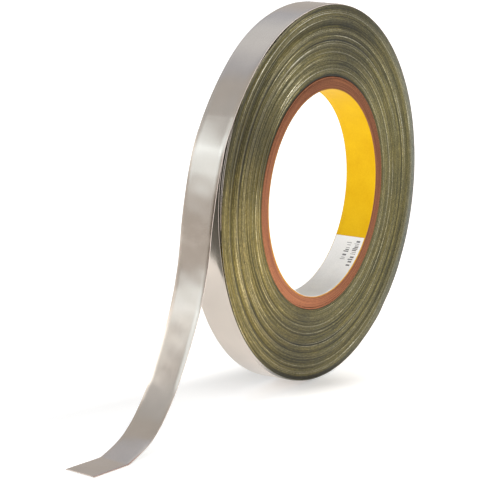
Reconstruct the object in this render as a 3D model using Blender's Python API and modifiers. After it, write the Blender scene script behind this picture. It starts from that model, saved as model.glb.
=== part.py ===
"""Roll of adhesive metal foil tape, standing on its rim with a free tail.

The roll's axis runs along Y and the roll stands on Z = 0. The strip leaves the
roll's left side (-X), hangs down in a shallow S, creases where it meets the
surface and ends in a short flat tab. The origin is under the middle of the
whole object, tail included, on the surface that it stands on.

Units: the constants are millimetres, and mm() turns them into Blender metres.
"""
import math

import bpy
import numpy as np
from mathutils import Vector

COLLECTION = "foil_tape_roll"

# Strip: a metal foil with an adhesive coat, and the release liner behind it.
STRIP_WIDTH = 12.7
FOIL = 0.20
ADHESIVE_GAP = 0.20
LINER = 0.15

# Core: a 3 inch fibre tube with a printed lining and a data label in its bore.
BORE_R = 38.1
LINING = 0.35
LAYER_GAP = 0.25
CORE_WALL = 3.25
OUTER_PLY = 0.55
CORE_CHAMFER = 0.25
LABEL = 0.20
LABEL_MARGIN = 0.30
LABEL_START_DEG = -36.6
LABEL_SWEEP_DEG = -105.0

# Roll
ROLL_R = 69.2
FACETS = 72
RECESSED_BANDS = 3
BAND_RECESS = 0.12

# Loose part of the outermost turn; angles are counter-clockwise from +X.
LOOSE_START_DEG = 96.0
LOOSE_SPAN_DEG = 30.0
LOOSE_LIFT = 0.75
LEAVE_START_DEG = 132.0
LEAVE_LIFT = 2.0
PEEL_DEG = 157.0
UNDER_END_DEG = 197.0
UNDER_LIFT = 1.9
PEEL_GAP = 0.40

# Free tail: the points its S curve passes through, from the roll's axis.
TAIL_POINTS = (
    (-70.9, 15.5),
    (-74.6, 2.0),
    (-77.3, -11.5),
    (-81.8, -24.5),
    (-88.7, -37.4),
    (-98.8, -52.4),
    (-111.0, -63.6),
)
CREASE_X = -125.0
TAIL_STEPS = 5
TAIL_YAW_DEG = 7.5
TAIL_DRIFT = -0.9
TAB_LENGTH = 17.3
CREASE_GAP = 0.40


def mm(value):
    """Millimetres to metres."""
    return value * 0.001


FACET_ANGLE = 2 * math.pi / FACETS
FLAT_R = ROLL_R * math.cos(FACET_ANGLE / 2)
FOIL_MID_R = ROLL_R - FOIL / 2
STRIP_THICKNESS = FOIL + ADHESIVE_GAP + LINER
TAB_FOIL_Z = STRIP_THICKNESS - FOIL / 2
TAIL_YAW = math.radians(TAIL_YAW_DEG)
TIP_X = CREASE_X - TAB_LENGTH * math.cos(TAIL_YAW) - STRIP_WIDTH / 2 * math.sin(TAIL_YAW)
AXIS_X = -(TIP_X + FLAT_R) / 2
AXIS_Z = FLAT_R


def clear_scene():
    for old in list(bpy.data.objects):
        bpy.data.objects.remove(old, do_unlink=True)


def new_collection(name):
    group = bpy.data.collections.new(name)
    bpy.context.scene.collection.children.link(group)
    return group


def new_material(name, color, roughness, metallic=0.0):
    material = bpy.data.materials.new(name)
    material.use_nodes = True
    shader = material.node_tree.nodes["Principled BSDF"]
    shader.inputs["Base Color"].default_value = (*color, 1.0)
    shader.inputs["Roughness"].default_value = roughness
    shader.inputs["Metallic"].default_value = metallic
    material.diffuse_color = (*color, 1.0)
    return material


def add_object(group, name, mesh, material, location=(0.0, 0.0, 0.0)):
    piece = bpy.data.objects.new(name, mesh)
    piece.location = [mm(v) for v in location]
    mesh.materials.append(material)
    group.objects.link(piece)
    return piece


def shade(piece, angle_deg=30.0):
    piece.data.shade_smooth()
    piece.data.set_sharp_from_angle(angle=math.radians(angle_deg))


def turned_ring(group, name, profile, material):
    """A ring about the roll's axis from (radius, y) points, listed so that the
    outer side runs from +Y to -Y, turned by a Screw modifier."""
    mesh = bpy.data.meshes.new(name)
    # The Screw turns about local Z, so y is drawn as local height here.
    start = Vector((math.cos(FACET_ANGLE / 2), math.sin(FACET_ANGLE / 2), 0.0))
    points = [start * mm(r) + Vector((0, 0, mm(y))) for r, y in profile]
    count = len(points)
    mesh.from_pydata(points, [(i, (i + 1) % count) for i in range(count)], [])
    ring = add_object(group, name, mesh, material, (AXIS_X, 0.0, AXIS_Z))
    ring.rotation_euler = (math.radians(-90.0), 0.0, 0.0)
    screw = ring.modifiers.new("Turn", "SCREW")
    screw.axis = "Z"
    screw.steps = FACETS
    screw.render_steps = FACETS
    screw.use_merge_vertices = True
    screw.merge_threshold = 0.00001
    screw.use_smooth_shade = True
    return ring


def rectangle_profile(inner_r, outer_r, width, chamfer=0.0):
    half = width / 2
    if not chamfer:
        return [(outer_r, half), (outer_r, -half), (inner_r, -half), (inner_r, half)]
    return [
        (outer_r - chamfer, half), (outer_r, half - chamfer),
        (outer_r, chamfer - half), (outer_r - chamfer, -half),
        (inner_r + chamfer, -half), (inner_r, chamfer - half),
        (inner_r, half - chamfer), (inner_r + chamfer, half),
    ]


def banded_profile(inner_r, outer_r, width):
    """The wound turns: bands that stand flush and recessed in turn on each
    side, the way the turns drift sideways as the strip is wound."""
    bands = 2 * RECESSED_BANDS + 1
    step = (outer_r - inner_r) / bands
    slope = step * 0.1
    far = []
    for i in range(bands):
        y = width / 2 - (BAND_RECESS if i % 2 else 0.0)
        start = inner_r + i * step
        far.append((start + (slope if i else 0.0), y))
        far.append((start + step - (slope if i < bands - 1 else 0.0), y))
    near = [(r, -y) for r, y in reversed(far)]
    return near + far


def ramp(x):
    """Smooth 0 to 1 for x from 0 to 1."""
    x = min(max(x, 0.0), 1.0)
    return x * x * (3 - 2 * x)


def outer_turn_radius(angle_deg):
    """Middle of the foil of the outermost turn. Angles run from PEEL_DEG - 360,
    under the tail, to PEEL_DEG, where the tail begins."""
    under = (UNDER_END_DEG - 360 - angle_deg) / (UNDER_END_DEG - PEEL_DEG)
    loose = (angle_deg - LOOSE_START_DEG) / LOOSE_SPAN_DEG
    leave = max(0.0, angle_deg - LEAVE_START_DEG) / (PEEL_DEG - LEAVE_START_DEG)
    return (FOIL_MID_R + UNDER_LIFT * ramp(under) + LOOSE_LIFT * ramp(loose)
            + LEAVE_LIFT * leave ** 2)


def turn_points(first_deg, last_deg):
    """Points of the outermost turn at the facet corners between two angles."""
    step = 360 / FACETS
    corners = np.arange(math.ceil(first_deg / step - 0.5), math.floor(last_deg / step - 0.5) + 1)
    angles = [first_deg, *((corners + 0.5) * step), last_deg]
    angles = [a for i, a in enumerate(angles) if i == 0 or a - angles[i - 1] > step * 0.2]
    return [polar(outer_turn_radius(a), a) for a in angles]


def polar(radius, angle_deg):
    a = math.radians(angle_deg)
    return Vector((radius * math.cos(a), radius * math.sin(a)))


def smooth_path(points, steps):
    """Catmull-Rom curve through points; the first and last only steer it."""
    path = []
    for p0, p1, p2, p3 in zip(points, points[1:], points[2:], points[3:]):
        for i in range(steps):
            t = i / steps
            path.append(0.5 * (
                2 * p1 + (p2 - p0) * t
                + (2 * p0 - 5 * p1 + 4 * p2 - p3) * t * t
                + (3 * p1 - p0 - 3 * p2 + p3) * t ** 3
            ))
    path.append(points[-2])
    return path


def tail_path():
    """Middle of the tail's foil from the peel line to the crease."""
    peel = polar(outer_turn_radius(PEEL_DEG), PEEL_DEG)
    before = polar(outer_turn_radius(PEEL_DEG - 10), PEEL_DEG - 10)
    crease = Vector((CREASE_X, TAB_FOIL_Z - AXIS_Z))
    after = crease + Vector((-TAB_LENGTH / 2, -2.0))
    points = [before, peel, *(Vector(p) for p in TAIL_POINTS), crease, after]
    return smooth_path(points, TAIL_STEPS)


def tab_path():
    crease = Vector((CREASE_X, TAB_FOIL_Z - AXIS_Z))
    return [crease + Vector((-TAB_LENGTH * i / 4, 0.0)) for i in range(5)]


def trimmed(path, start, end):
    """The path without its first and last stretch, start and end long."""
    path = list(path)
    for length in (start, end):
        while length > 0 and (path[1] - path[0]).length <= length:
            length -= (path[1] - path[0]).length
            path.pop(0)
        path[0] = path[0] + (path[1] - path[0]).normalized() * length
        path.reverse()
    return path


def offset_path(path, distance):
    """The path moved to its left, which is the side that faces the roll."""
    moved = []
    for i, point in enumerate(path):
        along = (path[min(i + 1, len(path) - 1)] - path[max(i - 1, 0)]).normalized()
        moved.append(point + Vector((-along.y, along.x)) * distance)
    return moved


def strip(group, name, path, thickness, material, width=STRIP_WIDTH,
          pivot=(0.0, 0.0, 0.0), yaw=0.0, drift=0.0):
    """A sheet that follows path across the strip's width, made solid. The sheet
    turns about the vertical by yaw and moves sideways by drift on its way from
    the path's start to its end. Its origin is at pivot, from the roll's axis."""
    count = len(path)
    rows = [[], []]
    for i, point in enumerate(path):
        done = ramp(i / (count - 1))
        angle = yaw * done
        for row, half in zip(rows, (-width / 2, width / 2)):
            row.append(Vector((
                mm(point.x + half * math.sin(angle) - pivot[0]),
                mm(half * math.cos(angle) + drift * done - pivot[1]),
                mm(point.y - pivot[2]),
            )))
    faces = [(i, i + 1, count + i + 1, count + i) for i in range(count - 1)]
    mesh = bpy.data.meshes.new(name)
    mesh.from_pydata(rows[0] + rows[1], [], faces)
    place = (AXIS_X + pivot[0], pivot[1], AXIS_Z + pivot[2])
    piece = add_object(group, name, mesh, material, place)
    solid = piece.modifiers.new("Thickness", "SOLIDIFY")
    solid.thickness = mm(thickness)
    solid.offset = 0.0
    solid.use_even_offset = True
    shade(piece)
    return piece


def build_core(group, fibre, ply, yellow):
    lining_out = BORE_R + LINING
    wall_in = lining_out + LAYER_GAP
    wall_out = wall_in + CORE_WALL
    ply_in = wall_out + LAYER_GAP
    turned_ring(group, "core_lining", rectangle_profile(BORE_R, lining_out, STRIP_WIDTH), yellow)
    wall = rectangle_profile(wall_in, wall_out, STRIP_WIDTH, CORE_CHAMFER)
    turned_ring(group, "core_tube", wall, fibre)
    turned_ring(group, "core_outer_ply",
                rectangle_profile(ply_in, ply_in + OUTER_PLY, STRIP_WIDTH), ply)
    return ply_in + OUTER_PLY


def build_label(group, white):
    """The data label curves round the bore, just inside the lining."""
    radius = BORE_R - LAYER_GAP - LABEL / 2
    steps = round(abs(LABEL_SWEEP_DEG) * FACETS / 360)
    step = LABEL_SWEEP_DEG / steps
    arc = [polar(radius, LABEL_START_DEG + step * i) for i in range(steps + 1)]
    strip(group, "data_label", arc, LABEL, white, STRIP_WIDTH - 2 * LABEL_MARGIN)


def build_roll(group, core_r, olive, silver, liner):
    outer_r = ROLL_R - STRIP_THICKNESS - 2 * LAYER_GAP
    turned_ring(group, "wound_turns",
                banded_profile(core_r + LAYER_GAP, outer_r, STRIP_WIDTH), olive)
    # The turn ends just short of the peel line at both ends, so that the tail
    # and the turn below it stay clear.
    path = turn_points(PEEL_DEG - 360, PEEL_DEG)
    foil = trimmed(path, PEEL_GAP, PEEL_GAP / 2)
    strip(group, "outer_turn_foil", foil, FOIL, silver)
    inward = FOIL / 2 + ADHESIVE_GAP + LINER / 2
    strip(group, "outer_turn_liner", offset_path(foil, inward), LINER, liner)


def build_tail(group, silver, liner):
    path = tail_path()
    pivot = (path[0].x, 0.0, path[0].y)
    foil = trimmed(path, PEEL_GAP / 2, CREASE_GAP / 2)
    inward = FOIL / 2 + ADHESIVE_GAP + LINER / 2
    turn = {"pivot": pivot, "yaw": TAIL_YAW, "drift": TAIL_DRIFT}
    strip(group, "tail_foil", foil, FOIL, silver, **turn)
    strip(group, "tail_liner", offset_path(foil, inward), LINER, liner, **turn)


def build_tab(group, silver, liner):
    path = tab_path()
    pivot = (path[0].x, 0.0, path[0].y)
    foil = trimmed(path, CREASE_GAP / 2, 0.0)
    inward = FOIL / 2 + ADHESIVE_GAP + LINER / 2
    sheets = (
        strip(group, "tab_foil", foil, FOIL, silver, pivot=pivot),
        strip(group, "tab_liner", offset_path(foil, inward), LINER, liner, pivot=pivot),
    )
    for sheet in sheets:
        sheet.location.y = mm(TAIL_DRIFT)
        sheet.rotation_euler.z = -TAIL_YAW


def main():
    clear_scene()
    group = new_collection(COLLECTION)
    silver = new_material("tinned_foil", (0.72, 0.71, 0.69), 0.22, 1.0)
    liner = new_material("release_liner", (0.36, 0.33, 0.18), 0.6)
    olive = new_material("turn_edges", (0.30, 0.28, 0.14), 0.5)
    fibre = new_material("core_fibre", (0.45, 0.22, 0.13), 0.85)
    ply = new_material("core_ply", (0.52, 0.27, 0.16), 0.85)
    yellow = new_material("yellow_lining", (0.87, 0.62, 0.03), 0.6)
    white = new_material("label_paper", (0.72, 0.71, 0.69), 0.6)
    core_r = build_core(group, fibre, ply, yellow)
    build_label(group, white)
    build_roll(group, core_r, olive, silver, liner)
    build_tail(group, silver, liner)
    build_tab(group, silver, liner)


main()
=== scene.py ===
"""Looks of the foil tape roll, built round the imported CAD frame.

The CAD frame fixes the sizes, the bodies and the joints. This script replaces
its plain solids with finer meshes of the same size: the strip as one thin foil
with dished edges, the side faces as some ninety separate turns, and the core as
a paper tube with its plies, lining and label.

Lengths are millimetres from the roll's axis until add_piece() turns them into
metres of the frame. Angles are degrees, counter-clockwise from +X as seen from
the near side (-Y).
"""
import math

import bmesh
import bpy
import numpy as np
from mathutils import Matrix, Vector


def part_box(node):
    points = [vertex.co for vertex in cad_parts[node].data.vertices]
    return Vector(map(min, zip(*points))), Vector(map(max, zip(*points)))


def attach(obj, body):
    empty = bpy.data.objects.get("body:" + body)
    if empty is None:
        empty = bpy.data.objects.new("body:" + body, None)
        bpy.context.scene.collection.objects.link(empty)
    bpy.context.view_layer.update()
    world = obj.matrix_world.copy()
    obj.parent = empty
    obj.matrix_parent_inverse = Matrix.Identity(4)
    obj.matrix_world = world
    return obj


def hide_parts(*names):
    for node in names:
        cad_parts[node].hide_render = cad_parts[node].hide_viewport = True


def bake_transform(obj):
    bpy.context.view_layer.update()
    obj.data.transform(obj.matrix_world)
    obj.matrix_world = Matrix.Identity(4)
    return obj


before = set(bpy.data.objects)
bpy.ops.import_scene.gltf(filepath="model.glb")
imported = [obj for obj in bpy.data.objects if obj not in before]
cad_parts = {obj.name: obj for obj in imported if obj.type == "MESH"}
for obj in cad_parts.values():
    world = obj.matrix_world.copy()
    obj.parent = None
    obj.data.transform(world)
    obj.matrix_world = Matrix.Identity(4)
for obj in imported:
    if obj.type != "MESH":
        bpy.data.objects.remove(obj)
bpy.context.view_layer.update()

MM = 0.001

# Strip, as wide as the CAD says and thinner than there, close to the real laminate.
FOIL = 0.12
LINER = 0.14
LINER_GAP = 0.02
EDGE_CURL = 0.16
EDGE_CURL_WIDTH = 1.1
PEEL_DISH = 0.12
ROW_STEP = 0.6
FOIL_COLUMNS = 15
LINER_COLUMNS = 7

# Path of the middle of the foil, the same as in the CAD: outermost turn, tail, tab.
FOIL_MID_R = 69.1
LOOSE_START_DEG = 96.0
LOOSE_SPAN_DEG = 30.0
LOOSE_LIFT = 0.75
LEAVE_START_DEG = 132.0
LEAVE_LIFT = 2.0
PEEL_DEG = 157.0
UNDER_END_DEG = 197.0
UNDER_LIFT = 1.9
TAIL_POINTS = (
    (-70.9, 15.5),
    (-74.6, 2.0),
    (-77.3, -11.5),
    (-81.8, -24.5),
    (-88.7, -37.4),
    (-98.8, -52.4),
    (-111.0, -63.6),
)
CREASE_X = -125.0
TAIL_YAW_DEG = 7.5
TAIL_DRIFT = -0.9
TAB_LENGTH = 17.3
TAB_FOIL_Z = 0.45
TURN_SHIFT = 0.55
TURN_SHIFT_END_DEG = 100.0

# Where the strip is cut into pieces: an angle, a share of the tail's rows, and how far
# past the crease, in mm, the tab's backing starts.
TURN_PIECE_END_DEG = 100.0
TAIL_SPLIT = 0.52
BACKING_START = 1.0

# Turns: all but the outermost are one pack. AROUND is the steps round a ring.
TURN_PITCH = 0.28
AROUND = 224
PACK_OUT_R = 68.8
PACK_GAP = 0.12
PACK_BELOW_EDGE = 0.04
GROOVE_DEPTH = 0.030
RIDGE_HEIGHT = 0.024
NEIGHBOURS = 7
# Bands of turns that lie proud or sunken: radius, half width, height.
SIDE_BANDS = ((45.2, 0.9, -0.05), (53.8, 0.8, -0.11), (56.8, 1.6, 0.05),
              (60.1, 0.7, 0.11), (62.4, 0.8, -0.12), (65.6, 0.8, 0.07))
# Painted shade and light on the side faces round the roll: angle, share.
SIDE_PAINTED_SHADE = ((0, 0.79), (30, 0.90), (48, 0.68), (64, 0.42), (76, 0.38), (88, 0.50), (105, 0.60),
             (125, 0.58), (150, 0.37), (165, 0.52), (180, 0.85), (200, 0.77), (210, 0.67),
             (225, 0.53), (243, 0.38), (252, 0.33), (262, 0.40), (280, 0.53), (300, 0.67),
             (320, 0.69), (340, 0.71), (360, 0.79))

# Core and label
BORE_R = 38.1
PLY_SEAM_DEG = -107.0
LABEL_START_DEG = -36.6
LABEL_SWEEP_DEG = -105.0
LABEL_R = 38.0
LABEL = 0.10
LABEL_MARGIN = 0.30
LABEL_CELL = 0.25

# Camera: azimuth 0 looks along +Y, and a positive elevation looks down.
VIEW_AZIMUTH_DEG = -57.40
VIEW_ELEVATION_DEG = 12.85
VIEW_DISTANCE = 845.9
VIEW_AIM = (-47.02, 0.0, -9.20)
LENS = 180.7
SENSOR = 36.0


# ------------------------------------------------------------ frame and meshes

def half_extent(name):
    """A ring node's outer radius, in mm."""
    low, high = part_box(name)
    return (high.x - low.x) / 2 / MM


tube_low, tube_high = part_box("core_tube")
AXIS = Vector(((tube_low.x + tube_high.x) / 2, 0.0, (tube_low.z + tube_high.z) / 2))
HALF_WIDTH = (tube_high.y - tube_low.y) / 2 / MM
LINING_R = half_extent("core_lining")
TUBE_R = half_extent("core_tube")
PLY_R = half_extent("core_outer_ply")


def ramp(x):
    """Smooth 0 to 1 for x from 0 to 1."""
    x = np.clip(x, 0.0, 1.0)
    return x * x * (3 - 2 * x)


def bump(angle_deg, middle_deg, half_width_deg):
    """Smooth hill of height 1 about an angle."""
    away = np.abs((angle_deg - middle_deg + 180) % 360 - 180)
    return 1 - ramp(away / half_width_deg)


def round_axis(radius, y, angle):
    """Points from their distance to the roll's axis, depth and angle in radians."""
    return np.stack([radius * np.cos(angle), y, radius * np.sin(angle)], -1)


def grid_faces(rows, columns, closed_rows):
    """Quads between the points of a grid that is stored row by row, where each
    row is a closed loop of columns points."""
    row = np.arange(rows if closed_rows else rows - 1)[:, None]
    column = np.arange(columns)[None, :]
    after = (column + 1) % columns
    below = (row + 1) % rows
    corners = (row * columns + column, row * columns + after,
               below * columns + after, below * columns + column)
    return np.stack(np.broadcast_arrays(*corners), -1).reshape(-1, 4)


def tube_faces(count, loop):
    """Quads between count loops, then a cap on each end."""
    caps = [list(range(loop)), list(range((count - 1) * loop, count * loop))]
    return grid_faces(count, loop, closed_rows=False).tolist() + caps


def into_scene(thing):
    bpy.context.scene.collection.objects.link(thing)


def add_piece(name, points, faces, materials, material_of_face=None, flat_faces=None,
              attributes=None, sharp_deg=None):
    """A mesh piece from points in mm about the roll's axis."""
    mesh = bpy.data.meshes.new(name)
    mesh.from_pydata((np.asarray(points).reshape(-1, 3) * MM).tolist(), [],
                     [[int(i) for i in face] for face in faces])
    for material in materials:
        mesh.materials.append(material)
    smooth = np.ones(len(mesh.polygons), bool)
    if flat_faces is not None:
        smooth[flat_faces] = False
    mesh.polygons.foreach_set("use_smooth", smooth)
    if material_of_face is not None:
        mesh.polygons.foreach_set("material_index", np.asarray(material_of_face, np.int32))
    for key, values in (attributes or {}).items():
        layer = mesh.attributes.new(key, "FLOAT", "POINT")
        layer.data.foreach_set("value", np.asarray(values, np.float32).ravel())
    shell = bmesh.new()
    shell.from_mesh(mesh)
    bmesh.ops.recalc_face_normals(shell, faces=shell.faces)
    for edge in shell.edges:
        edge.smooth = all(face.smooth for face in edge.link_faces)
    shell.to_mesh(mesh)
    shell.free()
    piece = bpy.data.objects.new(name, mesh)
    piece.location = AXIS
    into_scene(piece)
    if sharp_deg:
        mesh.set_sharp_from_angle(angle=math.radians(sharp_deg))
    return piece


def smooth_noise(rng, positions, wavelengths, count=10):
    """Sum of random waves over one or more coordinates, about 1 high."""
    total = 0.0
    for _ in range(count):
        phase = rng.uniform(0, 2 * math.pi)
        for position, wavelength in zip(positions, wavelengths):
            phase = phase + position * 2 * math.pi / wavelength * rng.normal(0.0, 0.8)
        total = total + np.sin(phase)
    return total / math.sqrt(count / 2)


# ------------------------------------------------------------------- materials

def node(tree, kind, inputs=None, **settings):
    made = tree.nodes.new(kind)
    for key, value in settings.items():
        setattr(made, key, value)
    for key, value in (inputs or {}).items():
        if isinstance(value, bpy.types.NodeSocket):
            tree.links.new(value, made.inputs[key])
        else:
            made.inputs[key].default_value = value
    return made


def calc(tree, operation, a, b=0.0, clamp=False):
    made = node(tree, "ShaderNodeMath", {0: a, 1: b}, operation=operation, use_clamp=clamp)
    return made.outputs[0]


def times(tree, a, b, clamp=False):
    return calc(tree, "MULTIPLY", a, b, clamp)


def weigh(tree, a, b, share):
    """A share of a and the rest of b."""
    return calc(tree, "ADD", times(tree, a, share), times(tree, b, 1.0 - share))


def drive(tree, shader, sockets):
    """Links node outputs to the shader's inputs of these names."""
    for name, socket in sockets.items():
        tree.links.new(socket, shader.inputs[name])


def vector_calc(tree, operation, a, b=(0.0, 0.0, 0.0), output="Vector"):
    made = node(tree, "ShaderNodeVectorMath", {0: a, 1: b}, operation=operation)
    return made.outputs[output]


def scaled(tree, vector, factor):
    return node(tree, "ShaderNodeVectorMath", {0: vector, "Scale": factor},
                operation="SCALE").outputs[0]


def object_place(tree):
    return node(tree, "ShaderNodeTexCoord").outputs["Object"]


def spread(tree, value, low, high, new_low, new_high, smooth=False):
    """Maps low..high onto new_low..new_high and holds it there."""
    kind = "SMOOTHSTEP" if smooth else "LINEAR"
    made = node(tree, "ShaderNodeMapRange", {0: value, 1: low, 2: high, 3: new_low, 4: new_high},
                interpolation_type=kind)
    return made.outputs[0]


def mix_color(tree, factor, a, b):
    made = node(tree, "ShaderNodeMix", data_type="RGBA")
    for index, value in ((0, factor), (6, a), (7, b)):
        if isinstance(value, bpy.types.NodeSocket):
            tree.links.new(value, made.inputs[index])
        else:
            made.inputs[index].default_value = value if index == 0 else (*value, 1.0)
    return made.outputs[2]


def noise(tree, vector, scale, detail=3.0, roughness=0.55):
    made = node(tree, "ShaderNodeTexNoise", {"Vector": vector, "Scale": scale, "Detail": detail,
                                             "Roughness": roughness})
    return made.outputs[0]


def attribute(tree, name):
    return node(tree, "ShaderNodeAttribute", attribute_name=name).outputs["Fac"]


def combine(tree, x, y, z=0.0):
    return node(tree, "ShaderNodeCombineXYZ", {0: x, 1: y, 2: z}).outputs[0]


def ring_vector(tree, around, outward, sideways=0.0):
    """Coordinates that follow the rings about the roll's axis without a seam:
    around is the detail per radian, outward and sideways per mm."""
    place = object_place(tree)
    flat = vector_calc(tree, "MULTIPLY", place, (1000.0, 0.0, 1000.0))
    radius = vector_calc(tree, "LENGTH", flat, output="Value")
    wide = vector_calc(tree, "MULTIPLY", vector_calc(tree, "NORMALIZE", flat),
                       (around, around, around))
    depth = node(tree, "ShaderNodeSeparateXYZ", {0: place}).outputs["Y"]
    middle = calc(tree, "ADD", times(tree, radius, outward),
                  times(tree, depth, sideways * 1000.0))
    return vector_calc(tree, "ADD", wide, combine(tree, 0.0, middle)), radius


def add_bump(tree, shader, height, strength, distance):
    made = node(tree, "ShaderNodeBump", {"Height": height, "Strength": strength,
                                         "Distance": distance * MM})
    tree.links.new(made.outputs["Normal"], shader.inputs["Normal"])


def new_material(name, roughness=0.5, metallic=0.0, color=(0.5, 0.5, 0.5), specular=0.5):
    material = bpy.data.materials.new(name)
    material.use_nodes = True
    shader = material.node_tree.nodes["Principled BSDF"]
    for socket, value in (("Base Color", (*color, 1.0)), ("Roughness", roughness),
                          ("Metallic", metallic), ("Specular IOR Level", specular)):
        shader.inputs[socket].default_value = value
    return material, material.node_tree, shader


def add_glow(tree, shader, glow):
    tree.links.new(glow, shader.inputs["Emission Color"])
    shader.inputs["Emission Strength"].default_value = 1.0


# Foil: its colours, and where it is marked, in mm along and across the strip.
TIN_DARK = (0.630, 0.562, 0.496)
TIN_LIGHT = (0.675, 0.602, 0.532)
# Colour of the painted contact shadow on the near edge where the roll stands.
PAINTED_CONTACT_SHADOW = (0.035, 0.034, 0.028)
WORN_COPPER = (0.42, 0.145, 0.085)
# Where the painted contact shadow lies: on the face, on the cut edges, where it ends, and across.
SHADOW_ON_FACE = (84.0, 104.0)
SHADOW_ON_EDGE = (50.0, 80.0)
SHADOW_END = (146.0, 170.0)
SHADOW_ACROSS = (-5.3, -4.6)
BARED_BEFORE_TAB = (9.0, 2.0)
BARED_ACROSS = (-6.05, -5.85)


def contact_shadow_stretch(tree, along, start):
    """1 along the stretch where the roll stands, where a contact shadow is painted."""
    return times(tree, spread(tree, along, *start, 0.0, 1.0, smooth=True),
                 spread(tree, along, *SHADOW_END, 1.0, 0.0, smooth=True))


def silver_foil(tab_at):
    """Tinned face of the foil: soft rolled metal with faint lines along it, a painted
    contact shadow on the near edge where the roll stands, and copper bared along
    the near edge from just before the tab, which starts at tab_at."""
    material, tree, shader = new_material("silver_foil", metallic=1.0)
    along = attribute(tree, "along")
    across = attribute(tree, "across")
    lines = noise(tree, combine(tree, times(tree, along, 0.02), across), 9.0, 4.0)
    place = combine(tree, along, across)
    patches = noise(tree, place, 0.11, 3.0)
    grain = noise(tree, place, 4.0, 2.0)
    color = mix_color(tree, spread(tree, patches, 0.3, 0.7, 0.0, 1.0), TIN_DARK, TIN_LIGHT)
    # Painted contact shadow along the near edge: dark and not metallic.
    contact_shadow = times(tree, contact_shadow_stretch(tree, along, SHADOW_ON_FACE),
                    spread(tree, across, *SHADOW_ACROSS, 1.0, 0.0))
    color = mix_color(tree, contact_shadow, color, PAINTED_CONTACT_SHADOW)
    bared_from, bared_full = (tab_at - before for before in BARED_BEFORE_TAB)
    bared = times(tree, spread(tree, along, bared_from, bared_full, 0.0, 0.9),
                  spread(tree, across, *BARED_ACROSS, 1.0, 0.0))
    bared = times(tree, bared, spread(tree, grain, 0.35, 0.6, 0.3, 1.0))
    rough = calc(tree, "ADD", spread(tree, patches, 0.3, 0.7, 0.17, 0.23),
                 spread(tree, lines, 0.3, 0.7, -0.02, 0.03))
    drive(tree, shader, {"Base Color": mix_color(tree, bared, color, WORN_COPPER),
                         "Metallic": spread(tree, contact_shadow, 0.0, 0.8, 1.0, 0.0),
                         "Roughness": rough})
    add_bump(tree, shader, weigh(tree, lines, grain, 0.6), 0.12, 0.02)
    return material


def bare_copper():
    """Cut edges of the foil, pale and coppery, with a painted contact shadow where the roll
    stands.
    """
    material, tree, shader = new_material("bare_copper", metallic=0.6)
    along = attribute(tree, "along")
    spots = noise(tree, combine(tree, along, 0.0), 1.3, 3.0)
    color = mix_color(tree, spots, (0.90, 0.68, 0.58), (0.92, 0.84, 0.77))
    # Painted contact shadow where the roll stands: dark and not metallic.
    contact_shadow = contact_shadow_stretch(tree, along, SHADOW_ON_EDGE)
    drive(tree, shader, {"Base Color": mix_color(tree, contact_shadow, color, PAINTED_CONTACT_SHADOW),
                         "Metallic": spread(tree, contact_shadow, 0.0, 1.0, 0.6, 0.0),
                         "Roughness": spread(tree, spots, 0.3, 0.7, 0.25, 0.45)})
    return material


def adhesive_face():
    """Inner face of the foil under its clear, slightly yellow adhesive."""
    material, tree, shader = new_material("adhesive_face", metallic=0.8)
    place = combine(tree, attribute(tree, "along"), attribute(tree, "across"))
    ripple = noise(tree, place, 0.9, 3.0)
    color = mix_color(tree, ripple, (0.50, 0.46, 0.36), (0.60, 0.55, 0.44))
    drive(tree, shader, {"Base Color": color,
                         "Roughness": spread(tree, ripple, 0.3, 0.7, 0.28, 0.42)})
    add_bump(tree, shader, ripple, 0.3, 0.03)
    return material


def release_liner(name, dark, light):
    """Release paper with fine fibres."""
    material, tree, shader = new_material(name)
    place = combine(tree, attribute(tree, "along"), attribute(tree, "across"))
    fibres = noise(tree, place, 3.5, 5.0, 0.65)
    cloud = noise(tree, place, 0.25, 2.0)
    tint = spread(tree, weigh(tree, fibres, cloud, 0.6), 0.35, 0.65, 0.0, 1.0)
    drive(tree, shader, {"Base Color": mix_color(tree, tint, dark, light),
                         "Roughness": spread(tree, cloud, 0.3, 0.7, 0.38, 0.52)})
    add_bump(tree, shader, fibres, 0.35, 0.03)
    return material


# Edges of the wound turns
OLIVE_DARK = (0.085, 0.077, 0.024)
OLIVE_LIGHT = (0.180, 0.143, 0.030)
DULL_STREAK = (0.040, 0.042, 0.024)
# Near black for painted shade in sunken turns and grooves, and for dark lines.
RECESS_SHADE_AND_DARK_LINES = (0.014, 0.014, 0.010)
YELLOWED_FOIL = (0.50, 0.435, 0.200)
CLEAN_FOIL = (0.74, 0.71, 0.62)
# Painted grey sheen on the outermost turns: its colour, radii and largest share.
PAINTED_GREY_SHEEN = (0.28, 0.295, 0.285)
SHEEN_RADII = (64.0, 68.4)
SHEEN_MOST = 0.42
# Plain tint, and the tint of the painted warm light on the lower left.
PLAIN_TINT = (1.0, 0.99, 0.92)
PAINTED_WARM_TINT = (1.09, 0.98, 0.74)


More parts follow.
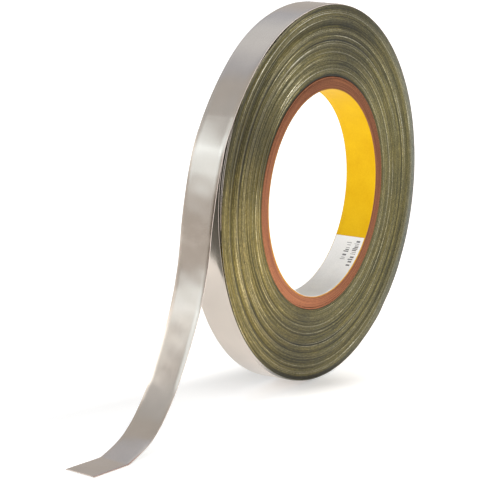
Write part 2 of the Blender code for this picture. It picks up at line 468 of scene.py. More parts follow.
def turn_edges():
    """Edges of the wound strip: olive liner and dark adhesive, with bright foil
    where a turn stands proud. The mesh gives "stand", -1 for a sunken turn and 1
    for a proud one, and sunken turns and grooves go near black, painted shade in
    the recesses; "tone", painted shade and light round the roll with painted
    glints; and two more values, a painted grey sheen on the outermost turns and
    a painted warm light on the left."""
    material, tree, shader = new_material("turn_edges", specular=0.2)
    streaks, radius = ring_vector(tree, 2.2, 3.6)
    fine, _ = ring_vector(tree, 9.0, 7.0)
    grit, _ = ring_vector(tree, 150.0, 2.4)
    dashes, _ = ring_vector(tree, 38.0, 2.4)
    cloud, _ = ring_vector(tree, 5.0, 0.30)
    streak = noise(tree, streaks, 1.0, 3.0)
    hair = noise(tree, fine, 1.0, 3.0)
    speck = noise(tree, grit, 1.0, 4.0, 0.65)
    dash = noise(tree, dashes, 1.0, 3.0, 0.6)
    patch = noise(tree, cloud, 1.0, 3.0)
    stand = attribute(tree, "stand")
    olive = mix_color(tree, spread(tree, patch, 0.35, 0.65, 0.0, 1.0), OLIVE_DARK, OLIVE_LIGHT)
    dull = mix_color(tree, spread(tree, streak, 0.35, 0.68, 0.0, 0.6), olive, DULL_STREAK)
    # Turns with a low stand go near black: painted shade in sunken turns and grooves, and dark
    # lines.
    dull = mix_color(tree, spread(tree, stand, -1.0, 0.0, 0.90, 0.0), dull, RECESS_SHADE_AND_DARK_LINES)
    shine = spread(tree, stand, -0.4, 1.0, 0.05, 0.95)
    shine = times(tree, shine, spread(tree, hair, 0.35, 0.6, 0.35, 1.1), clamp=True)
    shine = times(tree, shine, spread(tree, speck, 0.3, 0.6, 0.25, 1.15), clamp=True)
    foil = mix_color(tree, spread(tree, stand, 0.3, 1.2, 0.0, 1.0), YELLOWED_FOIL, CLEAN_FOIL)
    color = mix_color(tree, shine, dull, foil)
    # Painted grey sheen towards the rim.
    rim = times(tree, spread(tree, radius, *SHEEN_RADII, 0.0, SHEEN_MOST, smooth=True),
                attribute(tree, "rim_sheen"))
    color = mix_color(tree, rim, color, PAINTED_GREY_SHEEN)
    grain = times(tree, spread(tree, speck, 0.25, 0.75, 0.50, 1.50),
                  spread(tree, dash, 0.30, 0.70, 0.66, 1.36))
    # The mesh's painted shade, light and glints scale the colour.
    grain = times(tree, grain, attribute(tree, "tone"))
    color = scaled(tree, color, grain)
    # Painted warm light round the lower left.
    tint = mix_color(tree, attribute(tree, "painted_warm_light"), PLAIN_TINT, PAINTED_WARM_TINT)
    rough = calc(tree, "ADD", spread(tree, shine, 0.0, 1.0, 0.38, 0.24),
                 spread(tree, speck, 0.3, 0.7, -0.06, 0.08))
    drive(tree, shader, {"Base Color": vector_calc(tree, "MULTIPLY", color, tint),
                         "Metallic": spread(tree, shine, 0.0, 1.0, 0.45, 0.95),
                         "Roughness": rough})
    add_bump(tree, shader, weigh(tree, hair, speck, 0.75), 0.9, 0.09)
    return material


def core_fibre(name, dark, light, ring_share):
    """Wound brown paper board: soft rings at the cut ends and short fibres."""
    material, tree, shader = new_material(name, specular=0.25)
    rings, _ = ring_vector(tree, 1.1, 4.2, 0.12)
    grain, _ = ring_vector(tree, 90.0, 2.2, 2.2)
    ring = noise(tree, rings, 1.0, 3.0)
    fibre = noise(tree, grain, 1.0, 4.0, 0.65)
    tint = weigh(tree, ring, fibre, ring_share)
    tone = spread(tree, tint, 0.40, 0.60, 0.0, 1.0)
    drive(tree, shader, {"Base Color": mix_color(tree, tone, dark, light),
                         "Roughness": spread(tree, fibre, 0.3, 0.7, 0.72, 0.92)})
    add_bump(tree, shader, tint, 0.6, 0.08)
    return material


def paper(name, dark, light, roughness):
    """Smooth printed paper with faint fibres and cloudy tone."""
    material, tree, shader = new_material(name, specular=0.08)
    grain, _ = ring_vector(tree, 60.0, 0.0, 1.6)
    cloud, _ = ring_vector(tree, 4.0, 0.0, 0.12)
    fibre = noise(tree, grain, 1.0, 4.0, 0.6)
    tone = noise(tree, cloud, 1.0, 2.0)
    tint = spread(tree, weigh(tree, fibre, tone, 0.45), 0.35, 0.65, 0.0, 1.0)
    rough = spread(tree, tone, 0.3, 0.7, roughness - 0.06, roughness + 0.06)
    drive(tree, shader, {"Base Color": mix_color(tree, tint, dark, light), "Roughness": rough})
    add_bump(tree, shader, fibre, 0.25, 0.02)
    return material


def ink():
    """Dark grey print, a little uneven."""
    material, tree, shader = new_material("label_ink")
    grain, _ = ring_vector(tree, 200.0, 0.0, 5.0)
    speck = noise(tree, grain, 1.0, 3.0)
    color = mix_color(tree, speck, (0.10, 0.10, 0.105), (0.20, 0.20, 0.21))
    drive(tree, shader, {"Base Color": color,
                         "Roughness": spread(tree, speck, 0.3, 0.7, 0.5, 0.65)})
    return material


# ------------------------------------------------------------------- the strip

def outer_turn_radius(angle_deg):
    """Middle of the outermost turn's foil, from PEEL_DEG - 360 to PEEL_DEG."""
    under = (UNDER_END_DEG - 360 - angle_deg) / (UNDER_END_DEG - PEEL_DEG)
    loose = (angle_deg - LOOSE_START_DEG) / LOOSE_SPAN_DEG
    leave = np.maximum(0.0, angle_deg - LEAVE_START_DEG) / (PEEL_DEG - LEAVE_START_DEG)
    return (FOIL_MID_R + UNDER_LIFT * ramp(under) + LOOSE_LIFT * ramp(loose)
            + LEAVE_LIFT * leave ** 2)


def polar(radius, angle_deg):
    angle = np.radians(angle_deg)
    return np.stack([radius * np.cos(angle), radius * np.sin(angle)], -1)


def catmull_rom(points, steps):
    """Smooth curve through points; the first and last only steer it."""
    t = np.arange(steps)[:, None] / steps
    path = []
    for p0, p1, p2, p3 in zip(points, points[1:], points[2:], points[3:]):
        path.append(0.5 * (2 * p1 + (p2 - p0) * t
                           + (2 * p0 - 5 * p1 + 4 * p2 - p3) * t * t
                           + (3 * p1 - p0 - 3 * p2 + p3) * t ** 3))
    path.append(points[-2][None, :])
    return np.concatenate(path)


def blurred(values, reach):
    """Rows averaged with their neighbours, so that a crease gets a radius."""
    padded = np.pad(values, ((reach, reach), (0, 0)), mode="edge")
    window = np.hanning(2 * reach + 3)[1:-1]
    window = window / window.sum()
    return np.stack([np.convolve(padded[:, i], window, mode="valid")
                     for i in range(values.shape[1])], -1)


class Strip:
    """The whole outer turn, tail and tab as rows: middle, direction across the
    strip, outward direction and length so far."""

    def __init__(self):
        axis_height = AXIS.z / MM
        angles = np.arange(PEEL_DEG - 360, PEEL_DEG, ROW_STEP / math.radians(FOIL_MID_R))
        turn = polar(outer_turn_radius(angles), angles)
        crease = np.array([CREASE_X, TAB_FOIL_Z - axis_height])
        steer = [polar(outer_turn_radius(PEEL_DEG - 10), PEEL_DEG - 10),
                 polar(outer_turn_radius(PEEL_DEG), PEEL_DEG)]
        knots = steer + [np.array(p) for p in TAIL_POINTS]
        knots += [crease, crease + (-TAB_LENGTH / 2, -2.0)]
        tail = catmull_rom(knots, round(14.0 / ROW_STEP))
        tab = np.arange(ROW_STEP, TAB_LENGTH, ROW_STEP)
        yaw_full = math.radians(TAIL_YAW_DEG)
        done = ramp(np.linspace(0, 1, len(tail)))
        yaw = np.concatenate([np.zeros(len(turn)), yaw_full * done,
                              np.full(len(tab), yaw_full)])
        flat = np.concatenate([turn, tail, np.stack([crease[0] - tab * math.cos(yaw_full),
                                                     np.full(len(tab), crease[1])], -1)])
        sideways = np.concatenate([self.turn_shift(angles), TAIL_DRIFT * done,
                                   TAIL_DRIFT + tab * math.sin(yaw_full)])
        self.middle = np.stack([flat[:, 0], sideways, flat[:, 1]], -1)
        self.crease_row = len(turn) + len(tail) - 1
        near_crease = slice(self.crease_row - 12, self.crease_row + 13)
        self.middle[near_crease] = blurred(self.middle, 2)[near_crease]
        near_peel = slice(len(turn) - 16, len(turn) + 17)
        self.middle[near_peel] = blurred(self.middle, 7)[near_peel]
        self.across = np.stack([np.sin(yaw), np.cos(yaw), np.zeros(len(yaw))], -1)
        along = np.gradient(self.middle, axis=0)
        self.outward = np.cross(self.across, along)
        self.outward /= np.linalg.norm(self.outward, axis=1)[:, None]
        step = np.linalg.norm(np.diff(self.middle, axis=0), axis=1)
        self.length = np.concatenate([[0.0], np.cumsum(step)])
        self.angles = angles
        self.peel_row = len(turn)
        self.split_row = self.peel_row + round(TAIL_SPLIT * len(tail))
        self.turn_end_row = int(np.searchsorted(angles, TURN_PIECE_END_DEG))

    @staticmethod
    def turn_shift(angles):
        """The outermost turn lies a little towards the far side at lower left."""
        return TURN_SHIFT * (1 - ramp((angles - (PEEL_DEG - 360)) / TURN_SHIFT_END_DEG))


def sheet(name, strip, rows, depth, thickness, columns, materials, dents):
    """A closed sheet over the strip's rows. depth is how far its middle lies
    inside the strip's middle line; materials are outer face, cut edges, inner."""
    width = np.linspace(-1, 1, columns)
    width = np.sign(width) * (1 - (1 - np.abs(width)) ** 1.35)
    across = width * HALF_WIDTH
    edge = ramp((np.abs(across) - HALF_WIDTH + EDGE_CURL_WIDTH) / EDGE_CURL_WIDTH)
    length = strip.length[rows][:, None]
    lift = dents(length, across[None, :]) - EDGE_CURL * edge[None, :] ** 1.3 - depth
    line = strip.middle[rows][:, None, :] + across[None, :, None] * strip.across[rows][:, None, :]
    outward = strip.outward[rows][:, None, :]
    outer = line + (lift + thickness / 2)[..., None] * outward
    inner = line + (lift - thickness / 2)[..., None] * outward
    points = np.concatenate([outer, inner[:, ::-1]], 1)
    count = len(points)
    loop = 2 * columns
    faces = tube_faces(count, loop)
    column = np.tile(np.arange(loop), count - 1)
    kind = np.where((column == columns - 1) | (column == loop - 1), 1,
                    np.where(column < columns, 0, 2))
    kind = np.concatenate([kind, [1, 1]])
    both = np.concatenate([across, across[::-1]])
    return add_piece(name, points, faces, materials, kind, kind == 1, {
        "along": np.broadcast_to(length, (count, loop)),
        "across": np.broadcast_to(both[None, :], (count, loop)),
    })


def foil_dents(strip):
    """Shallow waves of soft foil, stronger where the tail hangs free, small
    lumps at the lower right and fine ripples by the crease."""
    rng = np.random.default_rng(11)
    waves = [(rng.uniform(0, 2 * math.pi), rng.normal(0, 1 / 11.0), rng.normal(0, 1 / 16.0))
             for _ in range(9)]
    peel = strip.length[strip.peel_row]
    crease = strip.length[strip.crease_row]
    lump_middle = strip.length[int(np.searchsorted(strip.angles, -48.0))]

    def dents(length, across):
        total = 0.0
        for phase, along_rate, across_rate in waves:
            total = total + np.sin(phase + 2 * math.pi * (along_rate * length
                                                          + across_rate * across))
        free = 0.010 + 0.018 * ramp((length - peel + 25) / 40)
        lumps = 0.10 * np.exp(-((length - lump_middle) / 22.0) ** 2) * (
            np.sin(length / 3.1) + 0.7 * np.sin(length / 1.7 + 1.0))
        ripples = 0.02 * np.exp(-((length - crease + 5) / 4.0) ** 2) * np.sin(
            length * 2.4 + 0.5 * np.sin(across))
        loose = ramp((length - peel + 36) / 22) * ramp((peel + 26 - length) / 16)
        dish = PEEL_DISH * (across / HALF_WIDTH) ** 2 * loose
        return free * total / 3 + lumps + ripples + dish

    return dents


def build_strip():
    """Foil and liner from the outermost turn to the tab. Returns the foil's face."""
    strip = Strip()
    silver = silver_foil(float(strip.length[strip.crease_row]))
    foil_materials = [silver, bare_copper(), adhesive_face()]
    liner_face = release_liner("release_liner", (0.150, 0.155, 0.145), (0.205, 0.210, 0.195))
    liner_cut = release_liner("release_liner_cut", (0.075, 0.070, 0.045), (0.110, 0.100, 0.062))
    liner_clean = release_liner("release_liner_clean_cut", (0.46, 0.39, 0.34), (0.62, 0.54, 0.48))
    dents = foil_dents(strip)
    last = len(strip.length)
    parts = {
        "outer_turn": slice(0, strip.turn_end_row + 1),
        "peel_tail": slice(strip.turn_end_row, strip.split_row + 1),
        "tail_tab": slice(strip.split_row, last),
    }
    depth = FOIL / 2 + LINER_GAP + LINER / 2
    foils = {key: sheet(f"foil_{key}", strip, rows, 0.0, FOIL, FOIL_COLUMNS, foil_materials,
                        dents) for key, rows in parts.items()}
    backing_row = strip.crease_row + round(BACKING_START / ROW_STEP)
    liner_parts = dict(parts)
    liner_parts["tail_tab"] = slice(strip.split_row, backing_row + 1)
    liner_parts["tab_backing"] = slice(backing_row, last)
    liners = {key: sheet(f"liner_{key}", strip, rows, depth, LINER, LINER_COLUMNS,
                         [liner_face, liner_cut if key == "outer_turn" else liner_clean,
                          liner_face], dents) for key, rows in liner_parts.items()}

    for made, slot in ((foils, "silver_foil"), (liners, "release_liner")):
        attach(made["outer_turn"], "roll")
        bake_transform(made["peel_tail"])
        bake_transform(made["tail_tab"])
    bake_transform(liners["tab_backing"])
    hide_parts("outer_turn_foil")
    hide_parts("tail_foil")
    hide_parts("tab_foil")
    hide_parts("outer_turn_liner")
    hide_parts("tail_liner")
    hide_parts("tab_liner")
    return silver


# ------------------------------------------------------------------- the turns

def drifting(rng, turns, keep, size):
    """A value that wanders from turn to turn: each keeps part of the last."""
    values = np.zeros(turns)
    fresh = rng.normal(0.0, size * math.sqrt(1 - keep ** 2), turns)
    values[0] = rng.normal(0.0, size)
    for i in range(1, turns):
        values[i] = keep * values[i - 1] + fresh[i]
    return values


def side_relief(rng, radii, angles_deg):
    """How far each turn's edge stands out of the side face, turns by angles."""
    turns = len(radii)
    angles = np.radians(angles_deg)[None, :]
    relief = (drifting(rng, turns, 0.80, 0.045) + drifting(rng, turns, 0.0, 0.014))[:, None]
    relief = relief + np.zeros_like(angles)
    for harmonic in range(1, 7):
        swing = 0.026 / harmonic ** 0.5
        relief = relief + (drifting(rng, turns, 0.78, swing)[:, None] * np.cos(harmonic * angles)
                           + drifting(rng, turns, 0.78, swing)[:, None]
                           * np.sin(harmonic * angles))
    for middle, width, height in SIDE_BANDS:
        relief = relief + height * np.exp(-((radii - middle) / width) ** 2)[:, None]
    return relief


def turn_lines(rng, turns, angles_deg):
    """Lines of single turns, lighter and darker than the rest, strong in places."""
    strength = rng.normal(0.0, 1.0, turns)
    strength = np.sign(strength) * np.abs(strength) ** 1.3 * 0.85
    phase = rng.uniform(0, 2 * math.pi, turns)[:, None]
    rate = rng.integers(1, 5, turns)[:, None]
    return strength[:, None] * (0.5 + 0.5 * np.sin(rate * np.radians(angles_deg) + phase))


def proud_glint_streaks(rng, turns, angles_deg):
    """Short stretches of single turns that stand proud, 0 to about 1, most round 117 and 205
    degrees; they are also painted lighter, as painted glints.
    """
    streaks = np.zeros((turns, len(angles_deg)))
    places = [(rng.integers(1, turns - 1), rng.choice((117.0, 117.0, 205.0, rng.uniform(0, 360))))
              for _ in range(64)]
    places += [(turn, 117.0) for turn in rng.integers(6, 30, 12)]
    for turn, middle in places:
        window = bump(angles_deg, middle + rng.normal(0, 8), rng.uniform(9, 28))
        streaks[turn] += rng.uniform(0.3, 1.0) * window
    return streaks


def pack_lift(angles_deg):
    """How far, in mm, the outermost turns of the pack bulge out, by angle."""
    return bump(angles_deg, 143.0, 30.0)


def turn_stand(relief, lines, streaks, turn_r, angles):
    """How each turn looks against its neighbours, from -1, sunken, to 1, proud; a turn
    lower than its neighbours is drawn darker, painted shade in its recess. A painted
    contact shadow darkens the outer rim at the bottom, and painted shade the turns
    next to the core's top."""
    turns = len(turn_r)
    padded = np.pad(relief, ((NEIGHBOURS, NEIGHBOURS), (0, 0)), mode="edge")
    window = 2 * NEIGHBOURS + 1
    around = sum(padded[i:i + turns] for i in range(window)) / window
    # Lines are drawn with more contrast round the left, from about 100 to 245 degrees.
    line_contrast = 0.82 + 0.30 * bump(angles, 158.0, 60.0) + 0.15 * bump(angles, 205.0, 40.0)
    proud = np.clip(((relief - around) / 0.42 + lines) * line_contrast, -0.85, 0.85) + streaks
    at_rim = ramp((turn_r - PACK_OUT_R + 1.4) / 0.5)
    at_core = ramp((PLY_R + PACK_GAP + 0.85 - turn_r) / 0.4)
    # Painted contact shadow on the outer rim at the bottom, and painted shade next to the core's
    # top.
    painted_shade_mask = bump(angles, 258.0, 40.0)[None, :] * at_rim[:, None]
    painted_shade_mask = painted_shade_mask + 0.9 * bump(angles, 95.0, 90.0)[None, :] * at_core[:, None]
    return proud * (1 - painted_shade_mask) - 1.3 * painted_shade_mask


def pack_side(rng, side, turn_r, pitch, angles):
    """One side face of the pack, from the core out: radius and depth of the
    groove and the ridge of each turn, and the values that turn_edges reads."""
    turns = len(turn_r)
    relief = side_relief(rng, turn_r, angles)
    streaks = proud_glint_streaks(rng, turns, angles)
    lines = turn_lines(rng, turns, angles)
    # A line of bright foil on the second-outermost turn round 118 degrees, a painted glint.
    lines[-2] = 0.9 * bump(angles, 118.0, 40.0)
    stand = np.repeat(turn_stand(relief, lines, streaks, turn_r, angles), 2, axis=0)
    # Groove rows get painted shade in the groove; ridge rows are drawn lighter.
    stand[0::2] -= 0.25
    stand[1::2] += 0.15
    height = np.repeat(np.clip(relief + 0.02 * streaks, -0.24, 0.24), 2, axis=0)
    height[0::2] -= GROOVE_DEPTH
    height[1::2] += RIDGE_HEIGHT
    # Painted shade and light round the roll, and painted glints on the proud streaks.
    tone = np.interp(angles, *zip(*SIDE_PAINTED_SHADE))[None, :]
    tone = tone + 0.45 * np.repeat(np.clip(streaks, 0.0, 1.0), 2, axis=0)
    # Painted grey sheen on the outermost turns, round the right.
    rim_sheen = np.broadcast_to(2 * bump(angles, 352.0, 92.0)[None, :], stand.shape)
    # Painted warm light round the lower left.
    painted_warm_light = np.broadcast_to(bump(angles, 200.0, 82.0)[None, :], stand.shape)
    radius = np.repeat(turn_r, 2) + np.tile((-pitch / 4, pitch / 4), turns)
    loose = ramp((radius - (PACK_OUT_R - 5.0)) / 5.0)[:, None] ** 1.5
    radius = radius[:, None] + loose * pack_lift(angles)[None, :]
    y = side * (HALF_WIDTH - PACK_BELOW_EDGE + height)
    return radius, y, stand, tone, rim_sheen, painted_warm_light


def build_pack():
    """All the turns but the outermost, as one solid with a groove and a ridge
    for each turn on both side faces."""
    inner_r = PLY_R + PACK_GAP
    turns = round((PACK_OUT_R - inner_r) / TURN_PITCH)
    pitch = (PACK_OUT_R - inner_r) / turns
    turn_r = inner_r + (np.arange(turns) + 0.5) * pitch
    angles = np.arange(AROUND) * 360.0 / AROUND
    rng = np.random.default_rng(5)
    near = pack_side(rng, -1, turn_r, pitch, angles)
    far = pack_side(rng, 1, turn_r, pitch, angles)
    radius, y, stand, tone, rim_sheen, painted_warm_light = (
        np.concatenate([out, back[::-1]]).T for out, back in zip(near, far))
    points = round_axis(radius, y, np.radians(angles)[:, None])
    columns = points.shape[1]
    faces = grid_faces(AROUND, columns, closed_rows=True)
    column = np.tile(np.arange(columns), AROUND)
    walls = (column == columns // 2 - 1) | (column == columns - 1)
    # Of these values, the last three are painted: shade and light with glints, a grey sheen, and a
    # warm light.
    pack = add_piece("wound_pack", points, faces, [turn_edges()], flat_faces=walls,
                     attributes={"stand": stand, "tone": tone, "rim_sheen": rim_sheen,
                                 "painted_warm_light": painted_warm_light})
    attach(pack, "roll")
    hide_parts("wound_turns")


def build_loose_turns(silver):
    """Two turns that have sprung from the pack under the peel line."""
    angles = np.arange(118.0, 206.0, 0.5)
    pack_r = PACK_OUT_R + pack_lift(angles)
    under_start = PEEL_DEG - 360
    cover = np.where(angles < PEEL_DEG, outer_turn_radius(angles),
                     outer_turn_radius(angles - 360)) - FOIL - LINER
    cover = np.where(angles < PEEL_DEG, np.minimum(cover, outer_turn_radius(under_start)), cover)
    columns = 9
    for number, (share, inset) in enumerate(((0.33, 0.10), (0.68, 0.30)), 1):
        radius = pack_r - 0.12 + (cover - pack_r) * share * bump(angles, 163.0, 40.0)
        width = HALF_WIDTH - inset * bump(angles, 165.0, 40.0)
        across = np.linspace(-1, 1, columns)[None, :] * width[:, None]
        edge = ramp((np.abs(across) - HALF_WIDTH + 1.2) / 0.9)
        outer = radius[:, None] - 0.10 * edge
        inner = outer - 0.20
        r = np.concatenate([outer, inner[:, ::-1]], 1)
        y = np.concatenate([across, across[:, ::-1]], 1)
        points = round_axis(r, y, np.radians(angles)[:, None])
        faces = tube_faces(len(angles), 2 * columns)
        length = np.broadcast_to(np.radians(angles - under_start)[:, None] * FOIL_MID_R, y.shape)
        piece = add_piece(f"loose_turn_{number}", points, faces, [silver],
                          attributes={"along": length, "across": y}, sharp_deg=40)
        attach(piece, "roll")


# -------------------------------------------------------------------- the core

def ring_piece(name, profile, materials, wobble):
    """A closed ring from (radius, y) points. wobble gives radial and sideways
    offsets in mm, one row for each angle and one column for each point. The
    second material, if there is one, is for the cut ends."""
    profile = np.array(profile)
    angles = np.arange(AROUND) * 360.0 / AROUND
    add_r, add_y = wobble(angles, profile)
    radius = profile[:, 0] + add_r
    y = profile[:, 1] + add_y
    points = round_axis(radius, y, np.radians(angles)[:, None])
    at_end = np.abs(profile[:, 1]) > HALF_WIDTH - 0.05
    cut = (at_end & np.roll(at_end, -1)) if len(materials) > 1 else np.zeros(len(profile), bool)
    piece = add_piece(name, points, grid_faces(AROUND, len(profile), closed_rows=True), materials,
                      np.tile(cut.astype(int), AROUND), sharp_deg=50)
    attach(piece, "roll")
    return piece


WALL_STEPS = 4


def cut_tube_profile(inner_r, outer_r, rounding, plies):
    """Section of a cut paper tube: rounded rims and a step for each ply."""
    inside = np.linspace(inner_r + rounding, outer_r - rounding, plies)
    half = HALF_WIDTH
    arc = np.radians(np.arange(0, 91, 30))
    near_out = [(outer_r - rounding + rounding * math.sin(a),
                 -half + rounding - rounding * math.cos(a)) for a in arc]
    near_in = [(inner_r + rounding - rounding * math.cos(a),
                -half + rounding - rounding * math.sin(a)) for a in arc]
    near = near_in + [(r, -half) for r in inside[1:-1]] + near_out
    heights = np.linspace(-half + rounding, half - rounding, WALL_STEPS + 2)[1:-1]
    outer_wall = [(outer_r, y) for y in heights]
    far = [(r, -y) for r, y in reversed(near)]
    inner_wall = [(inner_r, -y) for _, y in outer_wall]
    return near + outer_wall + far + inner_wall


def ply_wobble(seed, size):
    """Each ply of a cut end stands a little higher or lower than the next."""
    def wobble(angles, profile):
        rng = np.random.default_rng(seed)
        theta = np.radians(angles)[:, None]
        count = len(profile)
        add_y = np.zeros((len(angles), count))
        for harmonic in range(4):
            add_y += rng.normal(0, size / (1 + harmonic), count) * np.cos(
                harmonic * theta + rng.uniform(0, 2 * math.pi, count))
        at_end = np.abs(profile[:, 1]) > HALF_WIDTH - 0.01
        return 0.0, np.where(at_end, add_y, 0.0)
    return wobble


def outer_ply_wobble(angles, profile):
    """The last ply lifts a little where its edge ends."""
    lift = 0.10 * bump(angles, PLY_SEAM_DEG, 14.0)[:, None]
    outer = (profile[:, 0] > (TUBE_R + PLY_R) / 2)[None, :]
    _, add_y = ply_wobble(31, 0.02)(angles, profile)
    return np.where(outer, -0.04, lift), add_y


def build_core():
    """Core tube, the last ply round it and the printed lining inside it."""
    fibre = core_fibre("core_fibre", (0.112, 0.035, 0.015), (0.265, 0.098, 0.043), 0.6)
    ply_fibre = core_fibre("core_ply", (0.14, 0.046, 0.020), (0.30, 0.115, 0.053), 0.4)
    yellow = paper("yellow_lining", (0.625, 0.355, 0.0042), (0.70, 0.432, 0.0085), 0.50)
    cut_yellow = core_fibre("lining_cut", (0.30, 0.130, 0.035), (0.42, 0.19, 0.05), 0.4)
    tube = ring_piece("core_tube_wall", cut_tube_profile(LINING_R + 0.03, TUBE_R + 0.08, 0.22, 14),
                      [fibre], ply_wobble(21, 0.020))
    ply = ring_piece("core_outer_wrap", cut_tube_profile(TUBE_R + 0.13, PLY_R, 0.08, 5),
                     [ply_fibre], outer_ply_wobble)
    lining = ring_piece("core_lining_paper", cut_tube_profile(BORE_R, LINING_R, 0.06, 4),
                        [yellow, cut_yellow], ply_wobble(41, 0.008))
    for piece, slot, stood_for in ((tube, "core_fibre", "core_tube"),
                                   (ply, "core_ply", "core_outer_ply"),
                                   (lining, "lining_paper", "core_lining")):
        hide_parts(stood_for)


def is_printed(along, across):
    """Two rows of plain strokes, a stand-in for the print on a data label."""
    marks = np.zeros(np.broadcast(along, across).shape, bool)
    rng = np.random.default_rng(3)
    for row_middle, start, end in ((-4.1, 1.6, 13.0), (-0.7, 2.6, 10.5)):
        at = start
        while at < end:
            width = rng.choice((0.26, 0.26, 0.50, 0.76))
            tall = rng.choice((0.8, 1.05))
            lower = rng.choice((-0.25, 0.0, 0.25)) * (tall < 1.0)
            marks |= ((along > at) & (along < at + width)
                      & (np.abs(across - row_middle - lower) < tall))
            at += width + rng.choice((0.30, 0.30, 0.55, 1.05))
    return marks


def build_label():
    """Data label, a strip of white paper round the lower part of the bore."""
    sweep = math.radians(abs(LABEL_SWEEP_DEG)) * LABEL_R
    count = round(sweep / LABEL_CELL)
    half = HALF_WIDTH - LABEL_MARGIN
    columns = round(2 * half / LABEL_CELL)
    along = np.linspace(0, sweep, count)
    angles = np.radians(LABEL_START_DEG) - along / LABEL_R
    across = np.linspace(-half, half, columns)
    rng = np.random.default_rng(8)
    lift = 0.02 * smooth_noise(rng, (along[:, None], across[None, :]), (14.0, 9.0))
    inner = LABEL_R - LABEL / 2 - 0.02 + lift * 0.5
    outer = np.full_like(inner, LABEL_R + LABEL / 2)
    r = np.concatenate([inner, outer[:, ::-1]], 1)
    y = np.broadcast_to(np.concatenate([across, across[::-1]])[None, :], r.shape)
    points = round_axis(r, y, angles[:, None])
    loop = 2 * columns
    # The print is on the inner face: the middle of each cell there, far off elsewhere.
    cell_along = np.repeat(along[:-1] + LABEL_CELL / 2, loop)
    cell_column = np.tile(np.arange(loop), count - 1)
    cell_across = np.where(cell_column < columns - 1,
                           across[np.minimum(cell_column, columns - 1)] + LABEL_CELL / 2, 99.0)
    kind = is_printed(cell_along, cell_across).astype(int)
    kind = np.concatenate([kind, [0, 0]])
    white = paper("label_paper", (0.73, 0.735, 0.735), (0.82, 0.825, 0.825), 0.5)
    label = add_piece("label", points, tube_faces(count, loop), [white, ink()], kind,
                      sharp_deg=50)
    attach(label, "roll")
    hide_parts("data_label")


# ------------------------------------------------------- floor, light and view

# Floor, in metres. Its glow is weaker in a strip under the roll's left half: how
# far to its sides and where along X it fades, and its glow at two places along X.
FLOOR_REACH = 6.0
FLOOR_GLOW = (0.68, 0.677, 0.671)
FLOOR_STRIP_SIDE = (0.33, 1.0, 0.0)
FLOOR_STRIP_WIDTH = (0.012, 0.032)
FLOOR_STRIP_START = (-0.125, -0.100)
FLOOR_STRIP_END = (-0.010, 0.015)
FLOOR_WEAK_AT = (-0.048, -0.012)
FLOOR_WEAK_GLOW = (0.43, 0.22)


def build_floor():
    """Plain pale floor, lit a little from below like a light table. The tread
    reflects the strip where the glow is weaker."""
    mesh = bpy.data.meshes.new("floor")
    corners = [(x * FLOOR_REACH, y * FLOOR_REACH, 0)
               for x, y in ((-1, -1), (1, -1), (1, 1), (-1, 1))]
    mesh.from_pydata(corners, [], [(0, 1, 2, 3)])
    material, tree, shader = new_material("pale_floor", 0.9, color=(0.86, 0.86, 0.86),
                                          specular=0.1)
    place = vector_calc(tree, "SUBTRACT", object_place(tree), tuple(AXIS))
    x = node(tree, "ShaderNodeSeparateXYZ", {0: place}).outputs["X"]
    aside = vector_calc(tree, "DOT_PRODUCT", place, FLOOR_STRIP_SIDE, "Value")
    strip = spread(tree, calc(tree, "ABSOLUTE", aside), *FLOOR_STRIP_WIDTH, 1.0, 0.0,
                   smooth=True)
    for ends in ((*FLOOR_STRIP_START, 0.0, 1.0), (*FLOOR_STRIP_END, 1.0, 0.0)):
        strip = times(tree, strip, spread(tree, x, *ends, smooth=True))
    weak = spread(tree, x, *FLOOR_WEAK_AT, *FLOOR_WEAK_GLOW)
    glow = mix_color(tree, strip, FLOOR_GLOW, weak)
    add_glow(tree, shader, glow)
    mesh.materials.append(material)
    floor = bpy.data.objects.new("floor", mesh)
    into_scene(floor)


def direction(azimuth_deg, elevation_deg):
    """Azimuth is counter-clockwise from +X seen from above."""
    a, e = math.radians(azimuth_deg), math.radians(elevation_deg)
    return (math.cos(a) * math.cos(e), math.sin(a) * math.cos(e), math.sin(e))


def ring_direction(turned_deg, behind_deg):
    """Turned from +X over the top, then tipped towards the far side (+Y)."""
    a, b = math.radians(turned_deg), math.radians(behind_deg)
    return (math.cos(a) * math.cos(b), math.sin(b), math.sin(a) * math.cos(b))


# Soft lights: where, brightness (below 0 darkens), colour, and the angles from the
# middle, in degrees, at which they start and stop fading.
SOFT_LIGHTS = (
    (ring_direction(135.0, 25.5), 0.70, (0.92, 1.12, 1.26), 7.0, 14.0),
    (ring_direction(150.0, 33.5), 0.76, (0.92, 1.12, 1.26), 6.0, 11.8),
    (ring_direction(114.0, 41.0), 0.05, (0.60, 1.20, 1.90), 5.0, 12.0),
    (direction(102.0, 22.0), 1.10, (1.0, 1.03, 1.05), 6.0, 14.0),
    (ring_direction(125.0, 54.0), 1.30, (1.0, 1.03, 1.05), 4.0, 8.5),
    (ring_direction(142.5, 48.0), 0.70, (1.0, 1.02, 1.03), 4.5, 9.5),
    (ring_direction(168.0, 14.0), -0.52, (1.0, 1.0, 1.0), 5.0, 11.0),
    (direction(39.5, 37.7), 0.05, (0.40, 1.00, 2.40), 5.0, 20.0),
    (direction(105.0, 6.0), 0.60, (1.0, 1.0, 1.0), 10.0, 26.0),
    (direction(189.0, 12.0), 1.20, (1.0, 1.0, 1.0), 8.0, 20.0),
    (direction(191.0, 33.0), 0.60, (1.0, 1.0, 1.0), 8.0, 20.0),
    (direction(-51.0, 13.0), 5.0, (1.0, 0.985, 0.95), 4.0, 14.0),
    (direction(-56.0, 24.0), 4.0, (1.0, 0.985, 0.95), 4.0, 13.0),
    (direction(-125.0, 70.0), 0.6, (1.0, 1.0, 1.0), 10.0, 35.0),
)
HORIZON = (0.57, 0.54, 0.51)
ZENITH = (0.55, 0.54, 0.525)
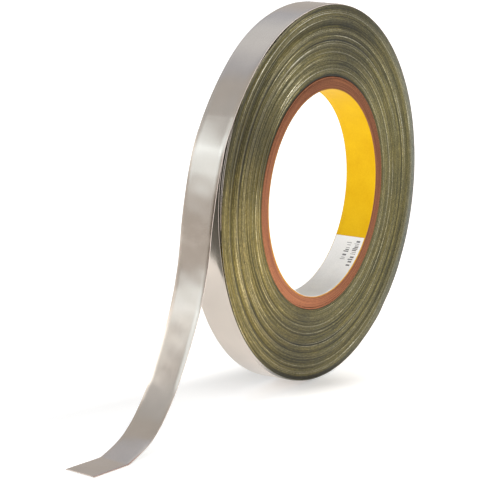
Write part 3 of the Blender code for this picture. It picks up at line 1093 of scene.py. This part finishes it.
FRONT = (0.10, 0.10, 0.10)
BACKDROP = (1.0, 1.0, 1.0)

# A small softbox low at the front left, so close that it falls off over the roll.
NEAR_LIGHT_AT = (-84.0, -108.0, -56.0)
NEAR_LIGHT_AIM = (-20.0, -6.0, -30.0)
NEAR_LIGHT_WATTS = 0.055
NEAR_LIGHT_SIZE = 40.0
NEAR_LIGHT_SPREAD_DEG = 75.0

# A soft card above the roll, which only the top of the tread reflects.
CARD_AT = (35.0, 100.0, 223.0)
CARD_AIM = (-25.0, 0.0, 63.0)
CARD_RADIUS = 125.0
CARD_EDGE = (0.54, 0.575, 0.65)
CARD_MIDDLE = (0.79, 0.83, 0.88)


def build_sky():
    """A plain studio: a white backdrop, and as light on the object a soft sky,
    darker in front, with a few far softboxes."""
    world = bpy.data.worlds.new("studio")
    world.use_nodes = True
    tree = world.node_tree
    background = tree.nodes["Background"]
    look = node(tree, "ShaderNodeTexCoord").outputs["Generated"]
    parts = node(tree, "ShaderNodeSeparateXYZ", {0: look})
    total = mix_color(tree, spread(tree, parts.outputs["Z"], 0.05, 0.75, 0.0, 1.0, smooth=True),
                      HORIZON, ZENITH)
    total = mix_color(tree, spread(tree, parts.outputs["Y"], -0.35, 0.02, 1.0, 0.0, smooth=True),
                      total, FRONT)
    for where, gain, tint, inner_deg, outer_deg in SOFT_LIGHTS:
        near = vector_calc(tree, "DOT_PRODUCT", look, where, "Value")
        share = spread(tree, near, math.cos(math.radians(outer_deg)),
                       math.cos(math.radians(inner_deg)), 0.0, gain, smooth=True)
        total = vector_calc(tree, "ADD", total, scaled(tree, tint, share))
    seen = node(tree, "ShaderNodeLightPath").outputs["Is Camera Ray"]
    tree.links.new(mix_color(tree, seen, total, BACKDROP), background.inputs["Color"])
    bpy.context.scene.world = world


def place_facing(thing, at, aim):
    """Puts a light or card at one point, from the roll's axis, facing another."""
    thing.location = AXIS + Vector(at) * MM
    thing.rotation_mode = "QUATERNION"
    thing.rotation_quaternion = (Vector(aim) - Vector(at)).to_track_quat("-Z", "Y")
    thing.visible_camera = False
    into_scene(thing)


def build_near_lights():
    """The softbox and the card, both out of the camera's sight."""
    lamp = bpy.data.lights.new("near_softbox", "AREA")
    lamp.energy = NEAR_LIGHT_WATTS
    lamp.size = NEAR_LIGHT_SIZE * MM
    lamp.spread = math.radians(NEAR_LIGHT_SPREAD_DEG)
    place_facing(bpy.data.objects.new("near_softbox", lamp), NEAR_LIGHT_AT, NEAR_LIGHT_AIM)

    mesh = bpy.data.meshes.new("overhead_card")
    disc = bmesh.new()
    bmesh.ops.create_circle(disc, cap_ends=True, segments=48, radius=CARD_RADIUS * MM)
    disc.to_mesh(mesh)
    disc.free()
    material, tree, shader = new_material("overhead_card", 1.0, color=(0.0, 0.0, 0.0),
                                          specular=0.0)
    away = vector_calc(tree, "LENGTH", object_place(tree), output="Value")
    glow = mix_color(tree, spread(tree, away, 0.2 * CARD_RADIUS * MM, CARD_RADIUS * MM, 0.0, 1.0,
                                  smooth=True), CARD_MIDDLE, CARD_EDGE)
    add_glow(tree, shader, glow)
    mesh.materials.append(material)
    card = bpy.data.objects.new("overhead_card", mesh)
    place_facing(card, CARD_AT, CARD_AIM)


def build_camera():
    """The camera looks at VIEW_AIM from VIEW_DISTANCE away, without roll."""
    a, e = math.radians(VIEW_AZIMUTH_DEG), math.radians(VIEW_ELEVATION_DEG)
    back = Vector((math.sin(a) * math.cos(e), -math.cos(a) * math.cos(e), math.sin(e)))
    data = bpy.data.cameras.new("camera")
    data.lens = LENS
    data.sensor_width = SENSOR
    data.clip_start = 0.05
    data.clip_end = 50.0
    camera = bpy.data.objects.new("camera", data)
    camera.location = AXIS + Vector(VIEW_AIM) * MM + back * VIEW_DISTANCE * MM
    camera.rotation_mode = "QUATERNION"
    camera.rotation_quaternion = (-back).to_track_quat("-Z", "Y")
    into_scene(camera)
    bpy.context.scene.camera = camera
    bpy.context.scene.view_settings.view_transform = "Standard"


build_camera()
build_sky()
build_near_lights()
build_floor()
silver_material = build_strip()
build_pack()
build_loose_turns(silver_material)
build_core()
build_label()
